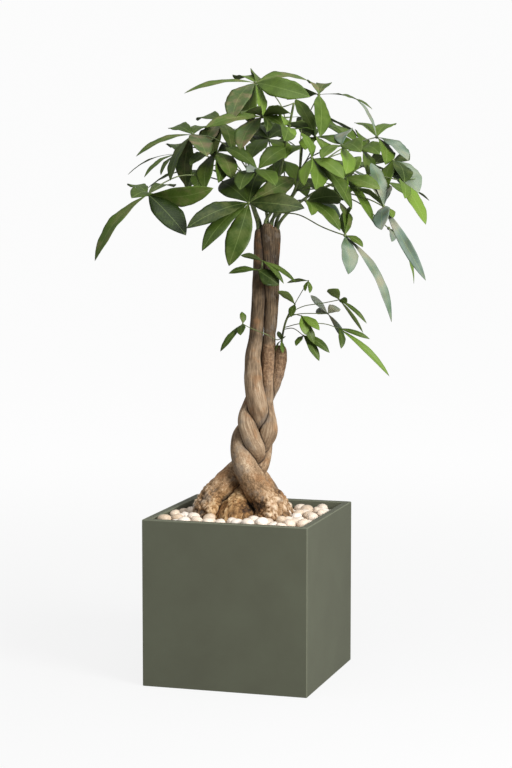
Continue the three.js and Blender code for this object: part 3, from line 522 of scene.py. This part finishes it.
SHOOTS = {
    "shoot_left_low": {
        "stem": [(21, 0, 1046), (20, -2, 1076), (13, -20, 1100), (6, -40, 1125), (8, -52, 1160)],
        "leaves": [
            ([(13, -20, 1100), (5, -110, 1122), (0, -170, 1130)], [
                (-140, -70, -55, 50, -40, "deep"), (-105, -90, -105, 46, -20, "deep"),
                (-45, -70, -140, 56, -20, "mid"), (125, -70, -10, 56, 50, "deep"),
                (105, 80, 55, 50, 40, "olive"), (-65, 100, 45, 56, -40, "deep"),
                (25, 115, 70, 52, 0, "dark")]),
            ([(6, -40, 1125), (-55, -70, 1175), (-148, -102, 1192), (-195, -114, 1175),
              (-232, -122, 1148)], [
                (-120, -40, -150, 44, -20, "olive"), (90, -82, -90, 62, 30, "deep"),
                (152, -68, 16, 50, 120, "olive"), (55, 125, 15, 46, 0, "dark"),
                (-30, -130, -5, 46, -20, "dark"), (-45, 115, 15, 42, 0, "dark")]),
            ([(8, -52, 1160), (14, -90, 1190), (20, -110, 1205)], [
                (-75, 30, 50, 42, -30, "dark"), (65, 45, 50, 46, 40, "dark"),
                (-25, -70, -5, 28, -30, "grey"), (-40, -110, -45, 46, 0, "dark"),
                (40, -110, -35, 46, 0, "dark")])]},
    "shoot_left_high": {
        "stem": [(27, 11, 1046), (26, 13, 1076), (13, 15, 1112), (6, 18, 1150), (4, 20, 1195),
                 (-8, 25, 1240)],
        "leaves": [
            ([(4, 20, 1190), (-35, -40, 1245), (-85, -58, 1278), (-130, -60, 1285)], [
                (-130, -40, -50, 26, -20, "olive"), (-50, -70, -105, 42, 20, "dark"),
                (-15, -10, -120, 50, -20, "olive"), (35, -110, -50, 52, 0, "brown"),
                (30, 110, 15, 42, 0, "dark"), (-55, 110, 15, 42, -20, "dark")]),
            ([(-8, 25, 1240), (-35, 40, 1290), (-65, 50, 1315)], [
                (-60, 125, 5, 42, -20, "dark"), (-50, -90, -65, 50, 0, "brown"),
                (-15, -110, -85, 44, 30, "olive"), (25, -110, -65, 46, -20, "olive"),
                (65, 100, 30, 44, 20, "dark")]),
            ([(9, 17, 1132), (-60, 90, 1215), (-125, 130, 1240), (-170, 150, 1240)], [
                (-125, 30, -50, 17, 0, "dark"), (-80, -80, -55, 20, 0, "dark"),
                (-40, -90, -50, 24, 30, "dark"), (50, 100, 10, 44, 0, "dark"),
                (-25, 150, 15, 44, 0, "dark")]),
            ([(6, 18, 1160), (-30, -10, 1215), (-75, -40, 1245)], [
                (-25, -100, -85, 46, 20, "mid"), (5, -100, -70, 38, -40, "dark"),
                (35, -100, -60, 48, 0, "olive"), (-60, -90, -30, 44, 0, "dark"),
                (55, 90, 5, 44, 30, "dark")])]},
    "shoot_top": {
        "stem": [(37, -8, 1050), (39, -8, 1084), (56, -5, 1112), (62, -1, 1150), (80, -5, 1230),
                 (95, -15, 1310), (104, -35, 1358)],
        "leaves": [
            ([(80, -5, 1230), (80, 0, 1340), (45, -10, 1390), (15, -20, 1405)], [
                (-165, -35, -25, 28, -20, "olive"), (-55, -135, -90, 58, 0, "brown"),
                (-5, -125, -100, 50, 40, "dark"), (15, -60, -80, 32, -30, "fresh"),
                (125, -100, -35, 56, 50, "dark"), (130, 90, 5, 46, 20, "olive"),
                (-5, 135, 14, 56, 40, "olive"), (-45, 125, 10, 50, 0, "mid")]),
            ([(104, -35, 1358), (90, -70, 1352), (55, -115, 1340), (30, -130, 1325)], [
                # Painted light: the first leaflet here has its underside in shade and takes the light fresh
                # look.
                (65, -110, 5, 40, -30, "fresh"), (45, -60, -20, 28, 20, "mid"),
                (-45, -115, 5, 40, 20, "olive"), (-50, -90, -75, 55, 0, "brown"),
                (10, -110, -35, 30, -40, "dark"), (-130, -30, -25, 44, -30, "olive")]),
            ([(80, -5, 1230), (85, -35, 1280), (80, -50, 1305)], [
                # Painted light: the second and last leaflets here have undersides in shade and take the
                # light fresh look.
                (60, 85, -10, 38, -20, "mid"), (-30, 100, 20, 38, 0, "fresh"),
                (0, -110, -35, 44, -40, "dark"), (15, -80, -30, 32, -20, "fresh"),
                (-10, 90, 25, 40, 40, "fresh")]),
            ([(62, -1, 1150), (55, 25, 1235), (45, 40, 1275)], [
                (-45, 95, 20, 44, -20, "dark"), (55, 90, 20, 46, 30, "dark"), (-40, -95, -45, 50, 0, "mid"),
                (40, -100, -45, 50, 0, "fresh"), (-15, 120, 30, 50, 20, "dark")])]},
    "shoot_right_high": {
        "stem": [(62, 20, 1046), (63, 22, 1076), (78, 26, 1110), (105, 12, 1150), (118, 5, 1200),
                 (125, 22, 1260)],
        "leaves": [
            ([(125, 22, 1260), (140, 50, 1330), (165, 70, 1380)], [
                (125, -40, -35, 44, 0, "mid"), (0, -110, -100, 50, -40, "mid"),
                (25, 130, 25, 36, 0, "olive"), (-20, 110, 30, 46, 20, "brown"),
                (-75, 80, -10, 42, 30, "mid")]),
            ([(118, 5, 1200), (142, 2, 1240), (155, 20, 1280)], [
                (-45, 60, 90, 44, 0, "mid"), (-20, 100, 35, 40, 40, "dark"), (105, -60, -35, 46, 20, "mid"),
                (-25, -70, -30, 40, 0, "fresh"), (15, -85, -30, 42, -30, "mid"),
                (-60, -85, 15, 36, 0, "mid")]),
            ([(118, 5, 1200), (140, -25, 1230), (175, -45, 1248), (215, -60, 1260)], [
                (5, -100, -65, 46, -40, "fresh"), (40, -105, -15, 44, 30, "mid"),
                (-50, -90, -30, 40, 0, "mid"), (25, 110, 35, 44, -20, "grey")]),
            ([(112, 8, 1175), (215, 60, 1250), (260, 95, 1268), (305, 110, 1280)], [
                (-50, 80, 35, 40, 0, "mid"), (70, -80, -55, 50, 0, "grey"), (-50, 70, 95, 18, 20, "grey"),
                (50, 110, 30, 44, 0, "mid"), (15, -105, -65, 46, -30, "mid")]),
            ([(118, 5, 1200), (200, 50, 1236), (265, 70, 1255)], [
                (-75, 70, 55, 42, 0, "mid"), (-5, 110, 35, 44, 40, "mid"), (40, -90, -15, 44, 30, "mid"),
                (10, -110, -65, 46, -40, "mid")])]},
    "shoot_right_low": {
        "stem": [(50, -8, 1050), (52, -11, 1082), (68, -24, 1104), (90, -36, 1125), (110, -44, 1155)],
        "leaves": [
            ([(68, -24, 1104), (115, -62, 1100), (165, -105, 1075), (190, -125, 1065), (220, -140, 1055)], [
                (-10, 80, 75, 36, 40, "olive"), (15, 85, 65, 36, -40, "mid"),
                (5, -70, -85, 46, -30, "grey"), (105, -50, -195, 29, 20, "grey"),
                (40, -30, -25, 22, 20, "mid")]),
            ([(110, -44, 1155), (165, -62, 1160), (230, -85, 1150), (280, -100, 1135), (310, -110, 1120)], [
                (-70, 60, 85, 26, 0, "grey"), (-25, 85, 100, 42, 20, "grey"), (15, 90, 40, 42, -30, "grey"),
                (-70, -60, 45, 34, 0, "mid"), (-10, -95, -50, 46, 30, "grey"),
                (95, -44, -168, 26, 57, "grey"), (20, -30, -25, 24, 0, "mid")]),
            ([(90, -36, 1125), (115, -120, 1135), (130, -190, 1135)], [
                (75, -80, 10, 52, -50, "dark"), (75, -60, -65, 38, 20, "mid"),
                (80, 45, -40, 34, -20, "grey"), (10, -80, -30, 30, -30, "mid")]),
            ([(110, -44, 1155), (130, -80, 1200), (145, -110, 1230)], [
                (70, -80, -45, 44, 20, "mid"), (90, -45, -115, 44, 20, "mid"),
                (5, -95, -70, 50, -40, "mid"), (-20, -100, -60, 38, 30, "fresh"),
                (-25, 40, 60, 40, 20, "mid")]),
            ([(110, -44, 1155), (170, -57, 1182), (220, -60, 1185)], [
                (65, -60, -100, 36, 0, "mid"), (80, -80, -25, 44, 30, "mid"),
                (-5, -95, -50, 44, 40, "fresh"), (40, 15, 50, 40, 30, "mid"),
                (-35, 70, 30, 38, 0, "mid")])]},
    "shoot_right_outer": {
        "stem": [(66, 10, 1044), (69, 8, 1074), (96, -2, 1108), (150, 8, 1148), (210, 16, 1176)],
        "leaves": [
            ([(210, 16, 1176), (270, 26, 1212), (340, 30, 1225)], [
                (55, -80, -75, 62, 20, "grey"), (20, -105, -50, 50, -20, "dark"),
                (45, 95, 0, 46, -40, "mid"), (-20, -90, -65, 44, 30, "mid"),
                (-40, 100, -10, 44, 20, "mid")]),
            ([(210, 16, 1176), (290, -30, 1190), (350, -60, 1180)], [
                (55, -80, -100, 40, 0, "fresh"), (5, -100, -40, 36, -40, "mid"),
                (50, 80, -20, 40, 0, "fresh")]),
            ([(150, 8, 1148), (250, 50, 1130), (332, 60, 1064)], [
                (5, -40, -30, 22, -40, "grey"), (15, 35, -20, 22, 20, "mid"),
                (64, 40, -134, 27, 50, "fresh")])]},
    "shoot_far_left": {
        "stem": [(43, 3, 1052), (43, 10, 1086), (30, 60, 1140), (-5, 120, 1190)],
        "leaves": [],
        "far_leaves": [((-25, 215, 1300), 20, 160), ((-120, 250, 1200), 50, 155)]},
    "shoot_far_right": {
        "stem": [(54, 14, 1044), (54, 20, 1078), (80, 70, 1140), (120, 130, 1190)],
        "leaves": [
            ([(80, 70, 1140), (84, 95, 1190), (80, 110, 1225)], [
                (35, -80, -60, 44, 0, "fresh"), (-35, -90, -60, 48, 0, "mid"),
                (-55, 85, -10, 44, 30, "dark"), (35, 100, 35, 46, 0, "mid"), (0, 90, 55, 44, -40, "mid")])],
        "far_leaves": [((130, 250, 1330), 5, 160), ((110, 300, 1180), 35, 150), ((235, 270, 1220), 70, 150),
                       ((315, 195, 1170), 10, 140)]},
}
FAR_LEAFLETS = 5
FAR_SPREAD = math.radians(66)  # between one leaflet and the next
FAR_DROOP = 0.34  # a leaflet's droop, its width and what the outer ones lack, as shares of its length
FAR_WIDTH = 0.33
FAR_SHORTENING = 0.07
FAR_STALK_ARCH = 20  # mm


def far_leaf(stem_end, hub, turn, length):
    """A leaf on the far side, its leaflets spread evenly round the hub and drooping."""
    leaflets = []
    for k in range(FAR_LEAFLETS):
        off_middle = k - (FAR_LEAFLETS - 1) / 2
        angle = math.radians(turn) + off_middle * FAR_SPREAD
        spread = length * (1 - FAR_SHORTENING * abs(off_middle))
        leaflets.append((spread * math.sin(angle), spread * math.cos(angle), -FAR_DROOP * spread,
                         FAR_WIDTH * spread, 0, "mid"))
    halfway = [(a + b) / 2 for a, b in zip(stem_end, hub)]
    return [stem_end, (halfway[0], halfway[1], halfway[2] + FAR_STALK_ARCH), hub], leaflets


def grow_blade(bm, hub, leaflet, columns, rows):
    """Adds one leaflet: a grid bent along its arched rib, folded up at the rib and waved at the margins.
    Its UV map is flat on the blade, with the rib along x = 0.5."""
    right, away, up, width, lean, look = leaflet
    tint_layer = bm.verts.layers.float_color["leaf_tint"]
    flat_layer = bm.loops.layers.uv["UVMap"]
    tip = Vector((right, away, up)) / 1000
    length = tip.length
    half = width / 2000
    across = Vector((right, away, 0)).normalized().cross(Vector((0, 0, 1)))
    across = Quaternion(tip.normalized(), math.radians(lean)) @ across
    above = across.cross(tip).normalized()
    bend = tip / 2 + above * 2 * BLADE_ARCH * length
    light, grey, brown = LOOKS[look]
    tint = (light + chance.uniform(-LIGHT_SPREAD, LIGHT_SPREAD), grey * chance.uniform(0.75, 1),
            min(1, brown * chance.uniform(0.6, 1) + chance.uniform(0, STRAY_BROWN)), 1)
    waves = chance.uniform(*WAVES)
    phases = [chance.uniform(0, math.tau) for _ in range(2)]
    swing = chance.uniform(-BLADE_SWING, BLADE_SWING) * length
    turned = Matrix.Rotation(PLANT_TURN, 3, "Z")
    sheet = bmesh.ops.create_grid(bm, x_segments=columns, y_segments=rows, size=1)["verts"]
    flat = {}
    for vert in sheet:
        column = vert.co.x
        s = (vert.co.y + 1) / 2
        t = 1 - s
        rib = 2 * s * t * bend + s * s * tip
        ahead = (2 * (1 - 2 * s) * bend + 2 * s * tip).normalized()
        normal = across.cross(ahead).normalized()
        outline = half * (s ** FOOT_POWER * t ** TIP_POWER) / WIDEST
        stalk = STALK_HALF_WIDTH * max(0, 1 - s / STALK_SHARE)
        reach_out = max(outline, stalk)
        wave = math.sin(math.tau * waves * s + phases[column > 0]) * math.sin(math.pi * s)
        ripple = math.sin(math.tau * RIPPLES * waves * s + 2 * phases[column > 0]) * min(1, 3 * s * t)
        waved = column * column * (BLADE_WAVE * wave + BLADE_RIPPLE * ripple)
        lift = reach_out * (BLADE_FOLD * abs(column) ** 1.4 + waved)
        reach_out *= 1 + MARGIN_RIPPLE * ripple * column * column
        sway = swing * math.sin(math.pi * s)
        flat[vert] = (0.5 + UV_SCALE * column * reach_out, UV_SCALE * s * length)
        vert.co = turned @ (Vector(hub) / 1000 + rib + across * (column * reach_out + sway) + normal * lift)
        vert[tint_layer] = tint
    for vert in sheet:
        for loop in vert.link_loops:
            loop[flat_layer].uv = flat[vert]
    bmesh.ops.remove_doubles(bm, verts=sheet, dist=0.0001)


def leaf_finish(name, dark, light, vein, vein_strength, roughness):
    """The finish of one side of a leaf: green flesh with a rib and side veins, clouds, a painted grey-blue
    sheen and brown blotches. The leaf_tint attribute says how light, how grey and how brown it is."""
    material, tree, surface, place = new_material(name, roughness)
    flat = add_node(tree, "UVMap", {"uv_map": "UVMap"})
    spot = add_node(tree, "SeparateXYZ", inputs={"Vector": flat})
    tint = add_node(tree, "Attribute", {"attribute_name": "leaf_tint"})
    tint = add_node(tree, "SeparateColor", inputs={"Color": tint}).outputs
    centred = add_node(tree, "Math", {"operation": "SUBTRACT"}, {0: spot.outputs["X"], 1: 0.5})
    from_rib = add_node(tree, "Math", {"operation": "ABSOLUTE"}, {0: centred})
    # Side veins leave the rib every 9 mm and curve towards the tip.
    slant = add_node(tree, "Math", {"operation": "POWER"}, {0: from_rib, 1: 1.25})
    start = add_node(tree, "Math", {"operation": "MULTIPLY_ADD"}, {
        0: slant, 1: -1.3, 2: spot.outputs["Y"]})
    count = add_node(tree, "Math", {"operation": "DIVIDE"}, {0: start, 1: 0.09})
    to_vein = add_node(tree, "Math", {"operation": "PINGPONG"}, {0: count, 1: 0.5})
    side_vein = add_node(tree, "MapRange", SOFT_ENDS, {
        "Value": to_vein, "From Min": 0.10, "From Max": 0.0, "To Max": 0.2})
    rib = add_node(tree, "MapRange", SOFT_ENDS, {
        "Value": from_rib, "From Min": 0.011, "From Max": 0.003})
    veins = add_node(tree, "Math", {"operation": "MAXIMUM"}, {0: side_vein, 1: rib})
    clouds = add_node(tree, "TexNoise", inputs={
        "Vector": place, "Scale": 35, "Detail": 4, "Roughness": 0.6})
    light_part = add_node(tree, "Math", {"operation": "MULTIPLY_ADD", "use_clamp": True}, {
        0: clouds, 1: 0.5, 2: tint["Red"]})
    shift = add_node(tree, "Math", {"operation": "SUBTRACT", "use_clamp": True}, {
        0: light_part, 1: 0.25})
    flesh = add_node(tree, "Mix", MIX_COLOURS, {0: shift, 6: dark, 7: light})
    mottles = add_node(tree, "TexNoise", inputs={"Vector": place, "Scale": 15, "Detail": 2})
    # Painted sheen: the grey-blue that a waxy leaf shows where it catches the light at a slant.
    painted_sheen = add_node(tree, "ValToRGB", inputs={"Fac": mottles}, stops=[
        (0.32, "#405243"), (0.46, "#5f7166"), (0.58, "#7e887d"), (0.70, "#908d7e")])
    greyed = add_node(tree, "Mix", MIX_COLOURS, {0: tint["Green"], 6: flesh, 7: painted_sheen})
    blotch = add_node(tree, "MapRange", SOFT_ENDS, {"Value": clouds, "From Min": 0.42, "From Max": 0.68})
    browned = add_node(tree, "Math", {"operation": "MULTIPLY"}, {0: blotch, 1: tint["Blue"]})
    aged = add_node(tree, "Mix", MIX_COLOURS, {0: browned, 6: greyed, 7: "#6e6047"})
    vein_part = add_node(tree, "Math", {"operation": "MULTIPLY"}, {0: veins, 1: vein_strength})
    colour = add_node(tree, "Mix", MIX_COLOURS, {0: vein_part, 6: aged, 7: vein})
    relief = add_node(tree, "Bump", inputs={"Height": to_vein, "Strength": 0.2, "Distance": 0.0008})
    tree.links.new(colour.outputs[2], surface.inputs["Base Color"])
    tree.links.new(relief.outputs["Normal"], surface.inputs["Normal"])
    surface.inputs["IOR"].default_value = 1.36
    surface.inputs["Specular IOR Level"].default_value = 0.35
    return material


# Waxy leaf skin, deep green with paler veins above, and a lighter, duller green below. Young leaves
# are yellower, old ones brown in blotches, and some undersides have a painted grey-blue sheen in patches.
upper_side = leaf_finish("Leaf skin, upper side", "#1d2b0a", "#6f8c33", "#86985a", 0.32, 0.46)
underside = leaf_finish("Leaf skin, underside", "#303f1e", "#758849", "#8f9b6a", 0.4, 0.6)

# Green stalk skin: smooth, a little browner than the leaves.
stalk_skin, tree, surface, place = new_material("Green stalk skin", 0.5)
flecks = add_node(tree, "TexNoise", inputs={"Vector": place, "Scale": 60, "Detail": 4})
skin = add_node(tree, "ValToRGB", inputs={"Fac": flecks}, stops=[(0.35, "#3d4526"), (0.65, "#6d7a45")])
tree.links.new(skin.outputs["Color"], surface.inputs["Base Color"])

chance = random.Random(LEAF_SEED)


def grow_shoot(name, growth, sizes):
    """Makes the two pieces of a shoot: its stem with the leaf stalks, and its leaflets."""
    green = bmesh.new()
    blades = bmesh.new()
    blades.verts.layers.float_color.new("leaf_tint")
    blades.loops.layers.uv.new("UVMap")
    stem = growth["stem"]
    leaves = growth["leaves"] + [far_leaf(stem[-1], *far) for far in growth.get("far_leaves", [])]
    thinning = sizes["taper"] / (len(stem) - 1)
    twig = [Vector((*planted(*point), sizes["radius"] - k * thinning)) for k, point in enumerate(stem)]
    grow_tube(green, smooth_path(twig, sizes["spacing"]), sizes["sides"])
    for stalk, leaflets in leaves:
        path = [Vector((*planted(*point), sizes["stalk_radius"])) for point in stalk]
        grow_tube(green, smooth_path(path, sizes["spacing"]), sizes["stalk_sides"])
        bmesh.ops.create_icosphere(green, subdivisions=sizes["knot_detail"], radius=sizes["knot_radius"],
                                   matrix=Matrix.Translation(planted(*stalk[-1])))
        for leaflet in leaflets:
            grow_blade(blades, stalk[-1], leaflet, sizes["columns"], sizes["rows"])
    bmesh.ops.recalc_face_normals(green, faces=green.faces)
    stalks = piece_of(green, name + "_stalks", stalk_skin)
    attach(stalks, "root")
    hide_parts(name)
    foliage = piece_of(blades, name + "_leaves", upper_side, underside)
    flesh = foliage.modifiers.new("Leaf flesh", "SOLIDIFY")
    flesh.thickness = BLADE_THICKNESS
    flesh.offset = -1
    flesh.material_offset = 1
    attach(foliage, "root")
    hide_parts(name)


for name, shoot in SHOOTS.items():
    grow_shoot(name, shoot, SHOOT_SIZES)


# ==== Young sprouts ====
# Thin shoots that broke out of the old wood: one from the short stem's cut top with many small
# leaves, and one under the crown. Their leaves are younger, so smaller and narrower.
SPROUT_SIZES = {
    "radius": 0.0026, "taper": 0, "stalk_radius": 0.0011, "knot_radius": 0.0022, "spacing": 0.006,
    "sides": 8, "stalk_sides": 6, "knot_detail": 1, "columns": 6, "rows": 14}
SPROUTS = {
    "sprout_stump": {
        "stem": [(76, 0, 772), (77, 0, 798), (80, 2, 820), (86, 0, 845), (96, -5, 868), (106, -8, 885)],
        "leaves": [
            ([(96, -5, 868), (122, -20, 915), (139, -25, 944)], [
                (-8, -10, -24, 11, 0, "fresh"), (3, -12, -28, 12, -20, "fresh"),
                (-50, 5, -5, 11, 50, "mid")]),
            ([(96, -5, 868), (130, -12, 884), (167, -16, 890), (212, -20, 899)], [
                (-26, -35, 28, 29, 20, "fresh"), (17, -30, -5, 18, 40, "mid"),
                (64, -20, -54, 12, 40, "mid"), (58, 25, -80, 10, -40, "mid")]),
            ([(92, -3, 858), (120, 8, 864), (186, 12, 864)], [
                (-40, 30, 42, 18, -30, "grey"), (-26, 35, 7, 20, -50, "grey"), (26, 45, 12, 29, 30, "grey"),
                (42, 20, -70, 18, -30, "grey")]),
            ([(83, 1, 832), (120, -22, 843), (179, -32, 843), (210, -36, 833)], [
                (5, -32, -45, 18, -20, "mid"), (73, -12, -24, 14, 50, "mid"),
                (119, -20, -111, 17, 50, "fresh")]),
            ([(82, 1, 828), (105, -30, 832), (127, -45, 817)], [
                (-18, -28, -22, 17, 0, "mid"), (37, -20, -58, 23, 30, "mid"),
                (61, -28, -38, 20, 50, "mid")]),
            ([(90, -3, 854), (105, -35, 866), (122, -56, 864)], [
                (9, -28, -42, 25, 0, "fresh"), (42, -32, -31, 23, 30, "fresh"),
                (31, -12, -66, 23, 40, "mid")]),
            ([(106, -8, 885), (108, -10, 888)], [
                (-41, -25, 33, 20, 40, "fresh"), (-10, -34, -28, 18, 0, "mid")]),
            ([(77, 0, 798), (76, -8, 803)], [
                (-14, -12, -24, 13, 20, "mid"), (3, -13, -30, 12, -20, "fresh"),
                (-8, -10, 22, 11, 30, "mid"), (10, -9, 10, 10, 0, "mid")]),
            ([(77, 0, 806), (63, -20, 805), (44, -31, 817), (4, -32, 833), (-15, -28, 843)], [
                (-53, -15, -64, 18, -40, "mid"), (-5, -32, -24, 23, 20, "mid"),
                (-2, 10, 28, 18, 20, "olive")])]},
    "sprout_front": {
        "stem": [(26, -2, 970), (28, -14, 971), (30, -26, 974), (31, -30, 988)],
        "leaves": [
            ([(31, -29, 984), (31, -31, 991)], [
                (-51, -15, 14, 17, 50, "mid"), (79, -12, -50, 13, 50, "mid"),
                (50, -22, -52, 13, 40, "mid")]),
            ([(30, -25, 972), (20, -29, 970)], [
                (-68, -20, -7, 18, -50, "mid"), (50, -15, -35, 44, 50, "dark")])]},
}

for name, sprout in SPROUTS.items():
    grow_shoot(name, sprout, SPROUT_SIZES)


# ==== Studio ====
# A white paper sweep, lit from below and behind so that the camera sees it evenly white, under
# soft lamps: the main one to the right of the camera. The camera is where the photograph was taken.
FLOOR_SIZE = 60
BACKDROP_GLOW = 0.97  # as the camera sees it
ROOM_GLOW = 0.45  # as it lights the plant
NEAR_GLOW = 0.85  # of the paper round the planter, where the lamps light it too
GLOW_GROWS = (0.6, 4)  # how far from the plant it starts and stops getting brighter
PAPER_TINT = 0.08
BOUNCE_GLOW = 0.22  # what the paper sends up to the plant
CAMERA_AT = (1.5317, -4.9549, 1.2548)
CAMERA_TILT = 6.13
CAMERA_TURN = 17
IMAGE_HEIGHT = 768
FOCAL_PIXELS = 2200
SENSOR_HEIGHT = 36
LAMPS_AIM = Vector((0, 0, 0.8))  # a point on the trunk
LAMPS = [  # name, place, size, power
    ("Key softbox", (3.1, -1.9, 2.2), 1.8, 200),
    ("Overhead softbox", (0.3, -0.6, 3.6), 2.4, 50),
]

white_paper, tree, surface, place = new_material("White paper sweep", 1)
seen = add_node(tree, "LightPath").outputs["Is Camera Ray"]
distance = add_node(tree, "VectorMath", {"operation": "LENGTH"}, {0: place})
backlight = add_node(tree, "MapRange", SOFT_ENDS, {
    "Value": distance, "From Min": GLOW_GROWS[0], "From Max": GLOW_GROWS[1],
    "To Min": NEAR_GLOW, "To Max": BACKDROP_GLOW - PAPER_TINT * ROOM_GLOW})
glow = add_node(tree, "Mix", inputs={0: seen, 2: BOUNCE_GLOW, 3: backlight})
tree.links.new(glow.outputs[0], surface.inputs["Emission Strength"])
surface.inputs["Emission Color"].default_value = (1, 1, 1, 1)
surface.inputs["Base Color"].default_value = (PAPER_TINT, PAPER_TINT, PAPER_TINT, 1)
surface.inputs["Specular IOR Level"].default_value = 0
bm = bmesh.new()
bmesh.ops.create_grid(bm, x_segments=1, y_segments=1, size=FLOOR_SIZE / 2)
floor = piece_of(bm, "paper_floor", white_paper)

world = bpy.data.worlds.new("Bright studio")
world.use_nodes = True
tree = world.node_tree
seen = add_node(tree, "LightPath").outputs["Is Camera Ray"]
glow = add_node(tree, "Mix", inputs={0: seen, 2: ROOM_GLOW, 3: BACKDROP_GLOW})
tree.nodes["Background"].inputs["Color"].default_value = (1, 1, 1, 1)
tree.links.new(glow.outputs[0], tree.nodes["Background"].inputs["Strength"])
bpy.context.scene.world = world

for name, spot, size, power in LAMPS:
    lamp = bpy.data.lights.new(name, "AREA")
    lamp.shape = "DISK"
    lamp.size = size
    lamp.energy = power
    holder = bpy.data.objects.new(name, lamp)
    holder.location = spot
    holder.rotation_euler = (LAMPS_AIM - Vector(spot)).to_track_quat("-Z", "Y").to_euler()
    bpy.context.collection.objects.link(holder)

lens = bpy.data.cameras.new("Camera")
lens.sensor_fit = "VERTICAL"
lens.sensor_height = SENSOR_HEIGHT
lens.lens = FOCAL_PIXELS / IMAGE_HEIGHT * SENSOR_HEIGHT
lens.clip_end = 200
camera = bpy.data.objects.new("Camera", lens)
camera.location = CAMERA_AT
camera.rotation_euler = (math.radians(90 - CAMERA_TILT), 0, math.radians(CAMERA_TURN))
bpy.context.collection.objects.link(camera)
bpy.context.scene.camera = camera
bpy.context.scene.view_settings.view_transform = "Standard"
